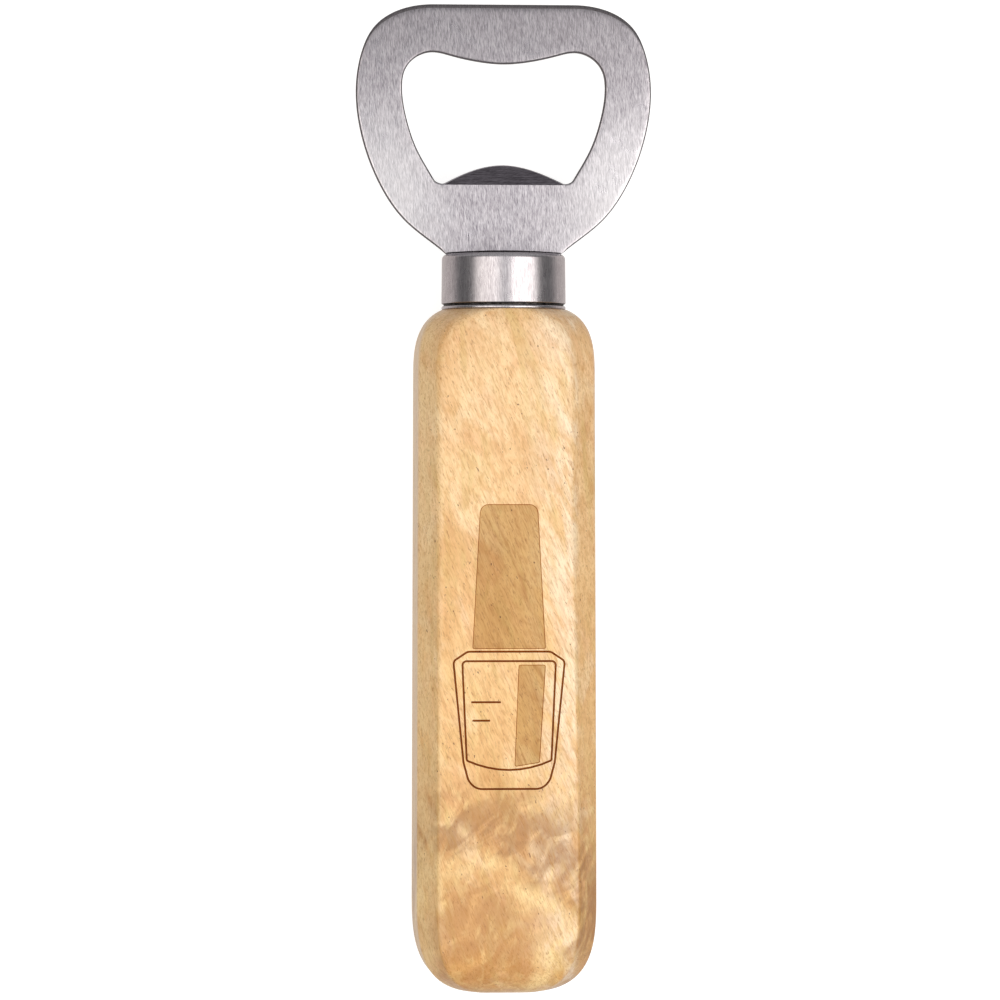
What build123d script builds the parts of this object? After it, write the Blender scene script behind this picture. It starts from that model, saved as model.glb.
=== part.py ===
from build123d import *
from math import cos, radians, sin, tan
import os

# A souvenir bottle opener lying on its back, in millimetres. +Y runs from the butt of
# the handle to the head, +Z is the front, and the origin lies in the resting plane,
# under the middle of the whole opener.

# Whole opener
OVERALL_LENGTH = 168.0
HEAD_TOP_Y = OVERALL_LENGTH / 2
BUTT_Y = -OVERALL_LENGTH / 2

# Handle: an eight-sided bar of wood with both ends rounded over
HANDLE_DEPTH = 24.0
PLANED_OFF = 0.06
ROUGH_HALF_DEPTH = HANDLE_DEPTH / 2 + PLANED_OFF
AXIS_Z = HANDLE_DEPTH / 2
HANDLE_AXIS = Axis((0, 0, AXIS_Z), (0, 1, 0))
HALF_WIDTH_AT_SHOULDER = 15.0
HALF_WIDTH_AT_BUTT = 15.3
FACET_WIDTH = 3.6
FACET_DEPTH = 5.0
FACET_SOFTENING = 1.6

# Shoulder: from a nearly round seat under the ferrule to the full eight-sided section
SHOULDER_Y = 32.0
SHOULDER_LENGTH = 11.2
SHOULDER_LEAD = 0.8
SHOULDER_POWER = 2.9
SHOULDER_STATIONS = (0.0, 0.5, 1.4, 2.8, 4.8, 7.6, SHOULDER_LENGTH)
SEAT_RADIUS = 10.63
SEAT_FACET = 6.2
SEAT_SOFTENING = 7.0

# Butt: the whole section shrinks towards a small landing at the end
BUTT_LENGTH = 18.0
BUTT_LEAD = 0.1
BUTT_POWER = 3.4
BUTT_ROOT = 3.2
BUTT_STATIONS = (BUTT_LENGTH, 14.0, 11.0, 8.0, 5.5, 3.5, 2.0, 1.0, 0.4, 0.0)

# Ferrule: a drawn steel cup over the turned spigot of the handle
FERRULE_TOP_Y = 41.5
FERRULE_TOP_RADIUS = 10.5
FERRULE_FOOT_RADIUS = 10.58
FERRULE_WALL = 0.8
FERRULE_BORE_RADIUS = FERRULE_FOOT_RADIUS - FERRULE_WALL
FERRULE_CORNER = 0.9
RIM_RADIUS = 10.7
RIM_HEIGHT = 0.68
GROOVE_RADIUS = 10.35
GROOVE_HEIGHT = 0.4
SPIGOT_RADIUS = FERRULE_BORE_RADIUS - 0.05
SPIGOT_TOP_Y = FERRULE_TOP_Y - FERRULE_WALL - 0.3

# Bore: drilled down the handle for the tang and filled with resin
BORE_RADIUS = 5.0
BORE_FLOOR_Y = 2.0
DRILL_POINT = 3.0
RESIN_TOP_Y = SPIGOT_TOP_Y - 0.5

# Head: one stamped plate with a cap window, a lifting lip and a tang
SHEET = 2.0
FRONT_Z = AXIS_Z + SHEET / 2
BACK_Z = AXIS_Z - SHEET / 2
EDGE_ROUND = 0.4
NECK_HALF_WIDTH = 9.8
NECK_DROP = HEAD_TOP_Y - FERRULE_TOP_Y - 0.2
NECK_CORNER = 0.8
WINDOW_FOOT_HALF_WIDTH = 11.4
WINDOW_CORNER = 1.2
TANG_HALF_WIDTH = 4.5
TANG_END_DROP = HEAD_TOP_Y - BORE_FLOOR_Y - 2.5
TANG_POINT = 2.0
NOTCH_RADIUS = 1.2
NOTCH_STATIONS = (14.0, 22.0, 30.0)
SLOT_CLEARANCE = 0.1

# Lifting lip: bent back at the fold along the foot of the window
FOLD_DROP = 30.7
FOLD_Y = HEAD_TOP_Y - FOLD_DROP
LIP_ANGLE = radians(42.0)
LIP_LENGTH = 5.0
LIP_HALF_WIDTH = 10.9
LIP_ROOT = 2.5
CREASE_RADIUS = 0.6


def below_top(half_width, drop):
    """A point of the head's right half, given by its drop below the top edge."""
    return (half_width, HEAD_TOP_Y - drop)


def across(y):
    """The plane square to the handle at this station, centred on the handle's axis."""
    return Plane(origin=(0, y, AXIS_Z), x_dir=(1, 0, 0), z_dir=(0, 1, 0))


def rounded_end(distance, length, power, root):
    """Share of the full size, 0 to 1, at this distance from a rounded-over end."""
    inward = max(0.0, (length - distance) / length)
    return (1 - inward**power) ** (1 / root)


def blend(start, end, share):
    """The value that lies this share of the way from start to end."""
    return start + (end - start) * share


def eight_sided(y, half_width, half_depth, facet_width, facet_depth, softening):
    """The handle's section at this station: a rectangle with four softened facets."""
    flat_width = half_width - facet_width
    flat_depth = half_depth - facet_depth
    with BuildSketch(across(y)) as section:
        with BuildLine():
            Polyline(
                (half_width, flat_depth),
                (flat_width, half_depth),
                (-flat_width, half_depth),
                (-half_width, flat_depth),
                (-half_width, -flat_depth),
                (-flat_width, -half_depth),
                (flat_width, -half_depth),
                (half_width, -flat_depth),
                close=True,
            )
        make_face()
        fillet(section.vertices(), radius=softening)
    return section.sketch


def shoulder_section(distance):
    """The handle's section at this distance below the ferrule."""
    curve = SHOULDER_LENGTH + SHOULDER_LEAD
    seat = rounded_end(SHOULDER_LEAD, curve, SHOULDER_POWER, SHOULDER_POWER)
    here = rounded_end(SHOULDER_LEAD + distance, curve, SHOULDER_POWER, SHOULDER_POWER)
    share = (here - seat) / (1 - seat)
    return eight_sided(
        SHOULDER_Y - distance,
        blend(SEAT_RADIUS, HALF_WIDTH_AT_SHOULDER, share),
        blend(SEAT_RADIUS, ROUGH_HALF_DEPTH, share),
        blend(SEAT_FACET, FACET_WIDTH, share),
        blend(SEAT_FACET, FACET_DEPTH, share),
        blend(SEAT_SOFTENING, FACET_SOFTENING, share),
    )


def butt_section(distance):
    """The handle's section at this distance from the butt end."""
    size = rounded_end(BUTT_LEAD + distance, BUTT_LENGTH, BUTT_POWER, BUTT_ROOT)
    return eight_sided(
        BUTT_Y + distance,
        HALF_WIDTH_AT_BUTT * size,
        ROUGH_HALF_DEPTH * size,
        FACET_WIDTH * size,
        FACET_DEPTH * size,
        FACET_SOFTENING * size,
    )


def bore_profile(top_y):
    """Half section of the drilled bore, from this height down to its drill point."""
    with BuildSketch(Plane.XY.offset(AXIS_Z)) as profile:
        with BuildLine():
            Polyline(
                (0, top_y),
                (BORE_RADIUS, top_y),
                (BORE_RADIUS, BORE_FLOOR_Y),
                (0, BORE_FLOOR_Y - DRILL_POINT),
                close=True,
            )
        make_face()
    return profile.sketch


# Lifting lip: a strip bent back at the fold, trimmed to a low arch in its own plane
along_lip = Vector(0, cos(LIP_ANGLE), -sin(LIP_ANGLE))
out_of_lip = Vector(0, sin(LIP_ANGLE), cos(LIP_ANGLE))
lip_plane = Plane(origin=(0, FOLD_Y, FRONT_Z), x_dir=(1, 0, 0), z_dir=out_of_lip)
tip_front = lip_plane.origin + along_lip * LIP_LENGTH
tip_back = tip_front - out_of_lip * SHEET
with BuildPart() as lip:
    with BuildSketch(Plane.YZ) as lip_side:
        with BuildLine():
            Polyline(
                (FOLD_Y - LIP_ROOT, FRONT_Z),
                (FOLD_Y, FRONT_Z),
                (tip_front.Y, tip_front.Z),
                (tip_back.Y, tip_back.Z),
                (FOLD_Y - SHEET * tan(LIP_ANGLE / 2), BACK_Z),
                (FOLD_Y - LIP_ROOT, BACK_Z),
                close=True,
            )
        make_face()
        crease = lip_side.vertices().sort_by_distance((FOLD_Y, FRONT_Z))[0]
        fillet(crease, radius=CREASE_RADIUS)
    extrude(amount=LIP_HALF_WIDTH, both=True)
    with BuildSketch(lip_plane):
        with BuildLine():
            Spline(
                (0, LIP_LENGTH),
                (LIP_HALF_WIDTH * 0.51, LIP_LENGTH * 0.7),
                (LIP_HALF_WIDTH * 0.87, LIP_LENGTH * 0.22),
                (LIP_HALF_WIDTH, 0),
                tangents=((1, 0), (0.8, -0.6)),
            )
            Polyline(
                (LIP_HALF_WIDTH, 0),
                (LIP_HALF_WIDTH, -2 * LIP_ROOT),
                (0, -2 * LIP_ROOT),
            )
            mirror(about=Plane.YZ)
        make_face()
    extrude(amount=2 * SHEET, both=True, mode=Mode.INTERSECT)
    free_edge = lip.faces().sort_by(Axis(lip_plane.origin, along_lip))[-1]
    fillet(free_edge.edges().sort_by(SortBy.LENGTH)[-2:], radius=EDGE_ROUND / 2)

# Head plate: a wide D with a cap window, running down into the tang
with BuildPart() as opener_head:
    with BuildSketch(Plane.XY.offset(BACK_Z)) as plate:
        with BuildLine():
            Line(below_top(0, 0), below_top(12.0, 0))
            Spline(
                below_top(12.0, 0),
                below_top(16.8, 0.65),
                below_top(19.9, 2.0),
                below_top(22.2, 4.0),
                below_top(24.1, 7.8),
                below_top(25.18, 14.8),
                below_top(24.35, 21.8),
                below_top(21.5, 29.9),
                below_top(16.8, 36.8),
                below_top(NECK_HALF_WIDTH, NECK_DROP),
                tangents=((1, 0), (-1, -0.85)),
            )
            Line(below_top(NECK_HALF_WIDTH, NECK_DROP), below_top(0, NECK_DROP))
            mirror(about=Plane.YZ)
        make_face()
        with BuildLine():
            Spline(
                below_top(0, 10.1),
                below_top(5.0, 9.6),
                below_top(9.0, 8.7),
                below_top(12.3, 8.1),
                below_top(15.2, 9.15),
                below_top(16.9, 11.3),
                below_top(17.35, 14.0),
                below_top(16.65, 19.2),
                below_top(14.65, 25.0),
                below_top(WINDOW_FOOT_HALF_WIDTH, FOLD_DROP),
                tangents=((1, 0), (-0.5, -0.87)),
            )
            Line(below_top(WINDOW_FOOT_HALF_WIDTH, FOLD_DROP), below_top(0, FOLD_DROP))
            mirror(about=Plane.YZ)
        make_face(mode=Mode.SUBTRACT)
        neck_corners = plate.vertices().group_by(Axis.Y)[0]
        fillet(neck_corners, radius=NECK_CORNER)
        foot_corners = plate.vertices().filter_by_position(Axis.Y, FOLD_Y - 0.1, FOLD_Y + 0.1)
        fillet(foot_corners, radius=WINDOW_CORNER)
    extrude(amount=SHEET)
    fillet(opener_head.faces().filter_by(Axis.Z).edges(), radius=EDGE_ROUND)
    with BuildSketch(Plane.XY.offset(BACK_Z)):
        with BuildLine():
            Polyline(
                below_top(0, NECK_DROP - EDGE_ROUND),
                below_top(TANG_HALF_WIDTH, NECK_DROP - EDGE_ROUND),
                below_top(TANG_HALF_WIDTH, TANG_END_DROP - TANG_POINT),
                below_top(TANG_HALF_WIDTH - TANG_POINT, TANG_END_DROP),
                below_top(0, TANG_END_DROP),
            )
            mirror(about=Plane.YZ)
        make_face()
        for notch_y in NOTCH_STATIONS:
            with Locations((-TANG_HALF_WIDTH, notch_y), (TANG_HALF_WIDTH, notch_y)):
                Circle(NOTCH_RADIUS, mode=Mode.SUBTRACT)
    extrude(amount=SHEET)
    add(lip.part)

# Ferrule: a cup with a rounded top edge, a fine groove and a rolled rim, slotted on top
with BuildPart() as ferrule:
    with BuildSketch(Plane.XY.offset(AXIS_Z)) as cup:
        with BuildLine():
            Polyline(
                (GROOVE_RADIUS, SHOULDER_Y + RIM_HEIGHT),
                (FERRULE_FOOT_RADIUS, SHOULDER_Y + RIM_HEIGHT + GROOVE_HEIGHT),
                (FERRULE_TOP_RADIUS, FERRULE_TOP_Y),
                (0, FERRULE_TOP_Y),
                (0, FERRULE_TOP_Y - FERRULE_WALL),
                (FERRULE_BORE_RADIUS, FERRULE_TOP_Y - FERRULE_WALL),
                (FERRULE_BORE_RADIUS, SHOULDER_Y),
                (GROOVE_RADIUS, SHOULDER_Y),
            )
            ThreePointArc(
                (GROOVE_RADIUS, SHOULDER_Y),
                (RIM_RADIUS, SHOULDER_Y + RIM_HEIGHT / 2),
                (GROOVE_RADIUS, SHOULDER_Y + RIM_HEIGHT),
            )
        make_face()
        top_corner = cup.vertices().sort_by_distance((FERRULE_TOP_RADIUS, FERRULE_TOP_Y))[0]
        fillet(top_corner, radius=FERRULE_CORNER)
    revolve(axis=HANDLE_AXIS)
    with BuildSketch(across(FERRULE_TOP_Y)):
        Rectangle(2 * (TANG_HALF_WIDTH + SLOT_CLEARANCE), SHEET + 2 * SLOT_CLEARANCE)
    extrude(amount=-2 * FERRULE_WALL, mode=Mode.SUBTRACT)

# Resin: fills the bore round the tang and holds head, ferrule and handle together
with BuildPart() as epoxy_bedding:
    revolve(bore_profile(RESIN_TOP_Y), axis=HANDLE_AXIS)
    add(opener_head.part, mode=Mode.SUBTRACT)

# Handle: the bar is lofted through its stations, planed flat on its front and its back,
# then given its spigot and its bore
with BuildPart() as handle:
    loft([shoulder_section(distance) for distance in SHOULDER_STATIONS])
    loft([shoulder_section(SHOULDER_LENGTH), butt_section(BUTT_LENGTH)], ruled=True)
    loft([butt_section(distance) for distance in BUTT_STATIONS])
    with BuildSketch(Plane.XY):
        Rectangle(4 * HALF_WIDTH_AT_BUTT, 2 * OVERALL_LENGTH)
    extrude(amount=HANDLE_DEPTH, mode=Mode.INTERSECT)
    with BuildSketch(across(SHOULDER_Y)):
        Circle(SPIGOT_RADIUS)
    extrude(amount=SPIGOT_TOP_Y - SHOULDER_Y)
    revolve(bore_profile(SPIGOT_TOP_Y), axis=HANDLE_AXIS, mode=Mode.SUBTRACT)

os.makedirs("parts", exist_ok=True)
opener_head.part.label = "opener_head"
ferrule.part.label = "ferrule"
epoxy_bedding.part.label = "epoxy_bedding"
handle.part.label = "handle"
for piece in (opener_head.part, ferrule.part, epoxy_bedding.part, handle.part):
    export_step(piece, f"parts/{piece.label}.step")
    box = piece.bounding_box()
    print(piece.label, len(piece.solids()), round(piece.volume), box.min, box.max)
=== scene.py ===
import logging
import math
from dataclasses import dataclass, field
from enum import Enum
from typing import Any, Callable, Mapping, Sequence

import bmesh
import bpy
import numpy as np
from mathutils import Matrix, Vector
from mathutils.geometry import delaunay_2d_cdt


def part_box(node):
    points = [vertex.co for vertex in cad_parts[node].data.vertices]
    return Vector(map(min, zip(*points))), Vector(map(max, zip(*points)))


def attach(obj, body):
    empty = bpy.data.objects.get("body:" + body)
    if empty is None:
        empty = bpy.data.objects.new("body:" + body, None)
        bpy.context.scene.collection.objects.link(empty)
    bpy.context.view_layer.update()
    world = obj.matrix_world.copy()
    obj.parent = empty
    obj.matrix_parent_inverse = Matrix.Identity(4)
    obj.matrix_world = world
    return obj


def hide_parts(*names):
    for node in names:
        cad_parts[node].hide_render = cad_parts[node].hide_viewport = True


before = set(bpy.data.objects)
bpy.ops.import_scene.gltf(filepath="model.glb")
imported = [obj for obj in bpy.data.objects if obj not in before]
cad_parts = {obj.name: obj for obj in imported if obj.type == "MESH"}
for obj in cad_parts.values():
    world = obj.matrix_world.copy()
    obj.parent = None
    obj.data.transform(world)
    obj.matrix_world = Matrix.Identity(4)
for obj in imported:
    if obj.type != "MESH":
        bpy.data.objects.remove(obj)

# A souvenir bottle opener lying on its back: +Y runs from the butt to the head, +Z is the
# front. Classes hold their sizes in millimetres; meshes are scaled to metres as they are made.

log = logging.getLogger("opener")
MM = 0.001
ROOT = "root"
ARC_STEPS = 6
MIX_FACTOR, MIX_FIRST, MIX_SECOND, MIX_RESULT = 0, 6, 7, 2
EASED = {"interpolation_type": "SMOOTHSTEP"}
MULTIPLY = {"operation": "MULTIPLY"}

# Where the head's painted shade and painted highlight lie, in millimetres: along the opener and out from
# its middle.
SHADED_FAR_END = (58.0, 84.0)
HIGHLIGHTED_LOWER_ARMS = (72.0, 52.0)
OUTER_ARMS = (4.0, 21.0)

Point = tuple[float, float]
Colour = tuple[float, float, float, float]
Tree = bpy.types.NodeTree
Socket = bpy.types.NodeSocket


class Brushing(Enum):
    """Which way the scratches of a brushed metal run."""

    ALONG_HANDLE = "along"
    ACROSS_HANDLE = "across"


# ---------------------------------------------------------------- small helpers


def linear(hex_colour: str) -> Colour:
    """Turn an sRGB hex colour into the linear colour a shader takes.

    Args:
        hex_colour: six hex digits, such as "f0c88c".

    Returns:
        Linear red, green and blue, and an opacity of 1.
    """
    channels = [int(hex_colour[i : i + 2], 16) / 255 for i in (0, 2, 4)]
    r, g, b = (c / 12.92 if c <= 0.04045 else ((c + 0.055) / 1.055) ** 2.4 for c in channels)
    return (r, g, b, 1.0)


def add_node(
    tree: Tree,
    kind: str,
    settings: Mapping[str | int, Any] | None = None,
    links: Mapping[str | int, Socket] | None = None,
) -> bpy.types.Node:
    """Add one node with its settings and its incoming links.

    Args:
        tree: the node tree to add to.
        kind: the node's type name.
        settings: attributes, or input values by name or index; "stops" fills a colour ramp.
        links: incoming sockets by input name or index.

    Returns:
        The new node.
    """
    node = tree.nodes.new(kind)
    for key, value in (settings or {}).items():
        if key == "stops":
            ramp = node.color_ramp
            while len(ramp.elements) > 1:
                ramp.elements.remove(ramp.elements[-1])
            ramp.elements[0].position, ramp.elements[0].color = value[0]
            for position, colour in value[1:]:
                ramp.elements.new(position).color = colour
        elif isinstance(key, str) and hasattr(node, key):
            setattr(node, key, value)
        else:
            node.inputs[key].default_value = value
    for key, socket in (links or {}).items():
        tree.links.new(socket, node.inputs[key])
    return node


def grey(value: float) -> Colour:
    """A linear grey, for the stops of a mask."""
    return (value, value, value, 1.0)


def smooth_step(low: float, high: float, value: np.ndarray | float) -> np.ndarray | float:
    """Ease from 0 at low to 1 at high."""
    share = np.clip((np.asarray(value, float) - low) / (high - low), 0.0, 1.0)
    return share * share * (3 - 2 * share)


def smooth_curve(points: Sequence[Point], start: Point, end: Point, step: float) -> np.ndarray:
    """Run a curvature-continuous curve through a few points.

    Args:
        points: the points to pass through.
        start: direction at the first point.
        end: direction at the last point.
        step: spacing of the samples along the curve.

    Returns:
        The samples, first and last point included.
    """
    p = np.array(points, float)
    gaps = np.linalg.norm(np.diff(p, axis=0), axis=1)
    count = len(p)
    matrix, right = np.zeros((count, count)), np.zeros((count, 2))
    matrix[0, 0] = matrix[-1, -1] = 1.0
    right[0] = np.array(start) / np.linalg.norm(start)
    right[-1] = np.array(end) / np.linalg.norm(end)
    for i in range(1, count - 1):
        before, after = gaps[i - 1], gaps[i]
        matrix[i, i - 1 : i + 2] = after, 2 * (before + after), before
        right[i] = 3 * (after / before * (p[i] - p[i - 1]) + before / after * (p[i + 1] - p[i]))
    slopes = np.linalg.solve(matrix, right)
    samples = []
    for i, gap in enumerate(gaps):
        t = np.linspace(0, 1, max(2, math.ceil(gap / step) + 1))[:-1, None]
        samples.append(
            (2 * t**3 - 3 * t**2 + 1) * p[i]
            + (t**3 - 2 * t**2 + t) * gap * slopes[i]
            + (-2 * t**3 + 3 * t**2) * p[i + 1]
            + (t**3 - t**2) * gap * slopes[i + 1]
        )
    samples.append(p[-1:])
    return np.concatenate(samples)


def corner_arc(
    corner: Sequence[float], into: Sequence[float], out: Sequence[float], radius: float, count: int
) -> np.ndarray:
    """Round one corner of a path.

    Args:
        corner: where the two runs would meet.
        into: direction of the run that arrives.
        out: direction of the run that leaves.
        radius: the arc's radius.
        count: number of steps along the arc.

    Returns:
        Samples from where the arc leaves the first run to where it meets the second.
    """
    first = np.array(into, float) / np.linalg.norm(into)
    second = np.array(out, float) / np.linalg.norm(out)
    turn = math.atan2(first[0] * second[1] - first[1] * second[0], float(first @ second))
    begin = np.array(corner, float) - first * radius * math.tan(abs(turn) / 2)
    centre = begin + np.array((-first[1], first[0])) * math.copysign(radius, turn)
    arm = begin - centre
    angles = np.linspace(0, turn, count + 1)
    cos, sin = np.cos(angles), np.sin(angles)
    return centre + np.stack((arm[0] * cos - arm[1] * sin, arm[0] * sin + arm[1] * cos), axis=1)


def rounded_loop(corners: Sequence[tuple[float, float, float]], step: float) -> np.ndarray:
    """Close a polygon with rounded corners.

    Args:
        corners: x, y and radius of each corner, in order.
        step: longest distance between samples on the straight runs.

    Returns:
        The loop's samples, without a repeated first one.
    """
    spots = np.array([corner[:2] for corner in corners], float)
    arcs = []
    for i, (x, y, radius) in enumerate(corners):
        into, out = spots[i] - spots[i - 1], spots[(i + 1) % len(spots)] - spots[i]
        arcs.append(corner_arc((x, y), into, out, radius, ARC_STEPS))
    pieces = []
    for i, arc in enumerate(arcs):
        pieces.append(arc[:-1])
        pieces.append(straight(arc[-1], arcs[(i + 1) % len(arcs)][0], step))
    return np.concatenate(pieces)


def straight(start: Sequence[float], end: Sequence[float], step: float) -> np.ndarray:
    """Space points evenly along a straight run.

    Args:
        start: the first point.
        end: where the run ends; no point is put there.
        step: the longest distance between points.

    Returns:
        The points.
    """
    first, last = np.array(start, float), np.array(end, float)
    count = max(1, math.ceil(float(np.linalg.norm(last - first)) / step))
    return first + (last - first) * np.arange(count)[:, None] / count


def mirrored(right_half: np.ndarray) -> np.ndarray:
    """Close a right half, which starts and ends on the centre line, with its left half."""
    left = right_half[1:-1][::-1] * np.array((-1.0, 1.0))
    return np.concatenate((right_half, left))


def offset_loop(loop: np.ndarray, distance: np.ndarray | float) -> np.ndarray:
    """Move a closed loop sideways, to its left as it runs.

    Args:
        loop: the loop's points.
        distance: how far, one value or one for each point.

    Returns:
        The moved points.
    """
    ahead = np.roll(loop, -1, axis=0) - loop
    behind = loop - np.roll(loop, 1, axis=0)
    ahead /= np.linalg.norm(ahead, axis=1)[:, None]
    behind /= np.linalg.norm(behind, axis=1)[:, None]
    tangent = ahead + behind
    tangent /= np.linalg.norm(tangent, axis=1)[:, None]
    normal = np.stack((-tangent[:, 1], tangent[:, 0]), axis=1)
    return loop + normal * np.broadcast_to(distance, (len(loop),))[:, None]


def inside(points: np.ndarray, loop: np.ndarray) -> np.ndarray:
    """Tell which points lie inside a closed loop.

    Args:
        points: the points to test.
        loop: the loop's points in order.

    Returns:
        One truth value for each point.
    """
    x, y = points[:, 0][:, None], points[:, 1][:, None]
    x1, y1 = loop[:, 0], loop[:, 1]
    x2, y2 = np.roll(x1, -1), np.roll(y1, -1)
    spans = (y1 > y) != (y2 > y)
    with np.errstate(divide="ignore", invalid="ignore"):
        meets = x < (x2 - x1) * (y - y1) / (y2 - y1) + x1
    return (spans & meets).sum(axis=1) % 2 == 1


def hex_grid(low: Point, high: Point, pitch: float) -> np.ndarray:
    """Fill a rectangle with a triangular grid.

    Args:
        low: the rectangle's lower left corner.
        high: its upper right corner.
        pitch: distance from point to point.

    Returns:
        The grid's points.
    """
    rows = np.arange(low[1], high[1], pitch * math.sqrt(3) / 2)
    points = []
    for index, y in enumerate(rows):
        xs = np.arange(low[0] + (index % 2) * pitch / 2, high[0], pitch)
        points.append(np.stack((xs, np.full(len(xs), y)), axis=1))
    return np.concatenate(points)


def clear_of(points: np.ndarray, others: np.ndarray, distance: float) -> np.ndarray:
    """Drop the points that come too near to others.

    Args:
        points: the points to choose from.
        others: the points to stay away from, taken in blocks to spare memory.
        distance: how far to stay away.

    Returns:
        The points that are left.
    """
    keep = np.ones(len(points), bool)
    for start in range(0, len(others), 256):
        gaps = np.linalg.norm(points[:, None] - others[None, start : start + 256], axis=2)
        keep &= gaps.min(axis=1) > distance
    return points[keep]


def triangulate(
    points: np.ndarray, loops: Sequence[Sequence[int]], keep: Callable[[np.ndarray], np.ndarray]
) -> np.ndarray:
    """Fill a flat region with triangles that respect its loops.

    Args:
        points: every point of the region, in the plane.
        loops: chains of point numbers whose links must be edges.
        keep: tells from triangle centres which triangles belong to the region.

    Returns:
        Three point numbers for each triangle, anticlockwise.
    """
    edges = [(a, b) for loop in loops for a, b in zip(loop[:-1], loop[1:])]
    made = delaunay_2d_cdt([Vector(p) for p in points], edges, [], 0, 1e-7)
    back = [originals[0] for originals in made[3]]
    faces = np.array([[back[i] for i in face] for face in made[2]])
    corners = points[faces]
    first, second = corners[:, 1] - corners[:, 0], corners[:, 2] - corners[:, 0]
    clockwise = first[:, 0] * second[:, 1] < first[:, 1] * second[:, 0]
    faces[clockwise] = faces[clockwise][:, ::-1]
    return faces[keep(corners.mean(axis=1))]


@dataclass
class Shell:
    """The closed skin of one piece while it is put together, in millimetres."""

    vertices: list[tuple[float, ...]] = field(default_factory=list)
    faces: list[tuple[int, ...]] = field(default_factory=list)
    finishes: list[int] = field(default_factory=list)

    def add_points(self, points: np.ndarray) -> list[int]:
        """Add points.

        Args:
            points: the points, in millimetres.

        Returns:
            Their numbers.
        """
        first = len(self.vertices)
        self.vertices += [tuple(float(c) for c in point) for point in points]
        return list(range(first, len(self.vertices)))

    def add_faces(self, faces: Sequence[Sequence[int]], finish: int = 0) -> None:
        """Add faces of one finish."""
        self.faces += [tuple(int(i) for i in face) for face in faces]
        self.finishes += [finish] * len(faces)

    def join(self, rings: Sequence[Sequence[int]], finish: int = 0) -> None:
        """Join closed rings of equal length, each to the next, with four-sided faces.

        Args:
            rings: the rings' point numbers.
            finish: the faces' finish.
        """
        for upper, lower in zip(rings[:-1], rings[1:]):
            ahead = np.roll((upper, lower), -1, axis=1)
            self.add_faces(list(zip(upper, lower, ahead[1], ahead[0])), finish)

    def fan(self, ring: Sequence[int], tip: Sequence[float], finish: int = 0) -> None:
        """Close a ring towards one point.

        Args:
            ring: the ring's point numbers.
            tip: the point.
            finish: the faces' finish.
        """
        centre = self.add_points(np.array([tip]))[0]
        self.add_faces([(a, b, centre) for a, b in zip(ring, np.roll(ring, -1))], finish)

    def make(
        self, name: str, materials: Sequence[bpy.types.Material], sharp_degrees: float = 30.0
    ) -> bpy.types.Object:
        """Turn the skin into a smooth-shaded piece that rides on the opener.

        Args:
            name: the piece's name.
            materials: the piece's finishes, in slot order.
            sharp_degrees: edges that turn more than this stay crisp.

        Returns:
            The new object.
        """
        mesh = bpy.data.meshes.new(name)
        mesh.from_pydata([tuple(c * MM for c in v) for v in self.vertices], [], self.faces)
        for material in materials:
            mesh.materials.append(material)
        mesh.polygons.foreach_set("material_index", self.finishes)
        mesh.polygons.foreach_set("use_smooth", [True] * len(mesh.polygons))
        build = bmesh.new()
        build.from_mesh(mesh)
        bmesh.ops.remove_doubles(build, verts=build.verts, dist=1e-7)
        bmesh.ops.recalc_face_normals(build, faces=build.faces)
        for edge in build.edges:
            edge.smooth = edge.calc_face_angle(0.0) < math.radians(sharp_degrees)
        build.to_mesh(mesh)
        build.free()
        piece = bpy.data.objects.new(name, mesh)
        bpy.context.scene.collection.objects.link(piece)
        weighted = piece.modifiers.new("keep_flats_flat", "WEIGHTED_NORMAL")
        weighted.keep_sharp = True
        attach(piece, ROOT)
        return piece


# ---------------------------------------------------------------- finishes


def new_finish(name: str) -> tuple[bpy.types.Material, bpy.types.Node, Socket]:
    """Start a material.

    Args:
        name: the finish's name.

    Returns:
        The material, its shader node, and the place on the opener in metres.
    """
    material = bpy.data.materials.new(name)
    material.use_nodes = True
    material.node_tree.nodes.clear()
    shader = add_node(material.node_tree, "ShaderNodeBsdfPrincipled")
    surface = {"Surface": shader.outputs[0]}
    add_node(material.node_tree, "ShaderNodeOutputMaterial", links=surface)
    place = add_node(material.node_tree, "ShaderNodeTexCoord").outputs["Object"]
    return material, shader, place


def pattern(
    tree: Tree, place: Socket, size: Sequence[float], look: Mapping[str, float], lean: float = 0.0
) -> Socket:
    """Spread an uneven pattern over a piece.

    Args:
        tree: the node tree.
        place: the place on the opener.
        size: size of a feature along each axis, in millimetres.
        look: the noise's detail, roughness and distortion.
        lean: how far its length leans, in degrees.

    Returns:
        The pattern's value.
    """
    turn = (0.0, 0.0, math.radians(lean))
    scale = [side * MM for side in size]
    stretch = {"vector_type": "TEXTURE", "Rotation": turn, "Scale": scale}
    spread = add_node(tree, "ShaderNodeMapping", stretch, {"Vector": place}).outputs[0]
    return add_node(tree, "ShaderNodeTexNoise", {"Scale": 1.0, **look}, {"Vector": spread}).outputs[0]


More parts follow.
